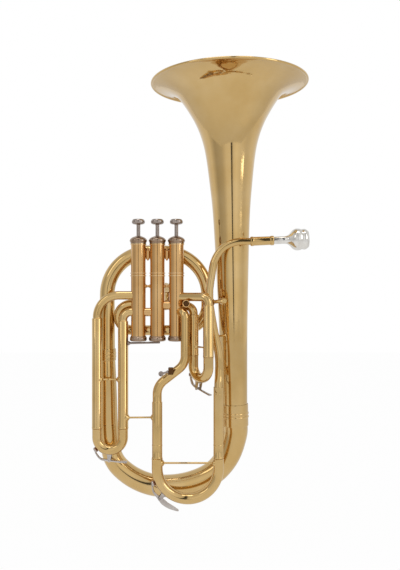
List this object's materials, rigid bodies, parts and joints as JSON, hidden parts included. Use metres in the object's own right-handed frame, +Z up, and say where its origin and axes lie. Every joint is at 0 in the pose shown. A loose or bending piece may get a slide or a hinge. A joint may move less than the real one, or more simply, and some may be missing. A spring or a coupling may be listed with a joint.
{
  "type": "alto horn",
  "caption": "Valved alto horn of brass tubing with an upright flared bell, piston valves, drawn slides, water keys and a silver mouthpiece.",
  "frame": {"origin": "on the middle valve's axis, level with the middle of the hand's grip on the valves", "axes": "+Z up towards the bell's mouth, +X from the third valve towards the bell, +Y from the valves back towards the bell's plane"},
  "size_m": [0.2762, 0.203, 0.545],
  "materials": {
    "lacquered_brass": "polished and clear lacquered",
    "nickel_plate": "polished nickel plate",
    "silver_plate": "polished silver plate",
    "spring_steel": "drawn wire"
  },
  "bodies": {
    "horn": {"bell": "lacquered_brass", "bell_ferrule": "lacquered_brass", "bell_stem": "lacquered_brass", "bottom_bow": "lacquered_brass", "bottom_cap_1": "nickel_plate", "bottom_cap_2": "nickel_plate", "bottom_cap_3": "nickel_plate", "branch_ferrule": "lacquered_brass", "casing_spacer_1_2": "lacquered_brass", "casing_spacer_2_3": "lacquered_brass", "first_sleeve_brace": "lacquered_brass", "first_slide_lower_tube": "lacquered_brass", "first_slide_upper_tube": "lacquered_brass", "knuckle_1_2": "lacquered_brass", "knuckle_2_3": "lacquered_brass", "leadpipe": "lacquered_brass", "lower_bell_stay": "lacquered_brass", "lyre_holder": "lacquered_brass", "main_branch": "lacquered_brass", "mouthpiece_receiver": "lacquered_brass", "outlet_crook": "lacquered_brass", "second_slide_lower_tube": "lacquered_brass", "second_slide_upper_tube": "lacquered_brass", "third_sleeve_brace": "lacquered_brass", "third_slide_lower_tube": "lacquered_brass", "third_slide_stay": "lacquered_brass", "third_slide_upper_tube": "lacquered_brass", "top_cap_1": "nickel_plate", "top_cap_2": "nickel_plate", "top_cap_3": "nickel_plate", "tuning_inlet_sleeve": "lacquered_brass", "tuning_outlet_tube": "lacquered_brass", "upper_bell_stay": "lacquered_brass", "valve_casing_1": "lacquered_brass", "valve_casing_2": "lacquered_brass", "valve_casing_3": "lacquered_brass", "valve_spring_1": "spring_steel", "valve_spring_2": "spring_steel", "valve_spring_3": "spring_steel", "valve_stay": "nickel_plate"},
    "valve_1": {"piston_1": "nickel_plate", "finger_button_1": "nickel_plate"},
    "valve_2": {"piston_2": "nickel_plate", "finger_button_2": "nickel_plate"},
    "valve_3": {"piston_3": "nickel_plate", "finger_button_3": "nickel_plate"},
    "tuning_slide": {"tuning_slide_bow": "lacquered_brass", "tuning_slide_brace": "lacquered_brass", "tuning_water_key_saddle": "nickel_plate"},
    "first_slide": {"first_slide_bow": "lacquered_brass", "first_water_key_saddle": "nickel_plate"},
    "second_slide": {"second_slide_bow": "lacquered_brass"},
    "third_slide": {"third_slide_bow": "lacquered_brass", "third_water_key_saddle": "nickel_plate"},
    "tuning_water_key": {"tuning_water_key_lever": "nickel_plate"},
    "third_water_key": {"third_water_key_lever": "nickel_plate"},
    "first_water_key": {"first_water_key_lever": "nickel_plate"},
    "mouthpiece": {"mouthpiece": "silver_plate"},
    "lyre_screw": {"lyre_screw": "nickel_plate"}
  },
  "joints": [
    {"name": "valve_1_travel", "type": "slide", "parent": "horn", "child": "valve_1", "axis": [0, 0, -1], "range_m": [0, 0.013], "stiffness_N_per_m": 150, "springref_m": -0.02, "deforming": ["valve_spring_1"]},
    {"name": "valve_2_travel", "type": "slide", "parent": "horn", "child": "valve_2", "axis": [0, 0, -1], "range_m": [0, 0.013], "stiffness_N_per_m": 150, "springref_m": -0.02, "deforming": ["valve_spring_2"]},
    {"name": "valve_3_travel", "type": "slide", "parent": "horn", "child": "valve_3", "axis": [0, 0, -1], "range_m": [0, 0.013], "stiffness_N_per_m": 150, "springref_m": -0.02, "deforming": ["valve_spring_3"]},
    {"name": "tuning_slide_draw", "type": "slide", "parent": "horn", "child": "tuning_slide", "axis": [0, 0, -1], "range_m": [0, 0.05]},
    {"name": "first_slide_draw", "type": "slide", "parent": "horn", "child": "first_slide", "axis": [0, 0, -1], "range_m": [0, 0.04]},
    {"name": "second_slide_draw", "type": "slide", "parent": "horn", "child": "second_slide", "axis": [0.2079, 0.9781, 0], "range_m": [0, 0.018]},
    {"name": "third_slide_draw", "type": "slide", "parent": "horn", "child": "third_slide", "axis": [0, 0, -1], "range_m": [0, 0.055]},
    {"name": "tuning_water_key_lift", "type": "hinge", "parent": "tuning_slide", "child": "tuning_water_key", "pos_m": [0.00368, -0.014, -0.25796], "axis": [0, -1, 0], "range_deg": [0, 8], "stiffness_Nm_per_rad": 0.02, "springref_deg": -20.05},
    {"name": "third_water_key_lift", "type": "hinge", "parent": "third_slide", "child": "third_water_key", "pos_m": [-0.06063, -0.001, -0.21418], "axis": [0, -1, 0], "range_deg": [0, 8], "stiffness_Nm_per_rad": 0.02, "springref_deg": -20.05},
    {"name": "first_water_key_lift", "type": "hinge", "parent": "first_slide", "child": "first_water_key", "pos_m": [0.05174, -0.01026, -0.12178], "axis": [-0.7636, -0.6456, 0], "range_deg": [0, 8], "stiffness_Nm_per_rad": 0.02, "springref_deg": -20.05},
    {"name": "mouthpiece_pull", "type": "slide", "parent": "horn", "child": "mouthpiece", "axis": [0.9991, 0, 0.0419], "range_m": [0, 0.025]},
    {"name": "lyre_screw_turn", "type": "hinge", "parent": "horn", "child": "lyre_screw", "pos_m": [0.018, -0.0228, -0.0985], "axis": [-0.9613, 0, -0.2756], "range_deg": [-180, 180]}
  ]
}
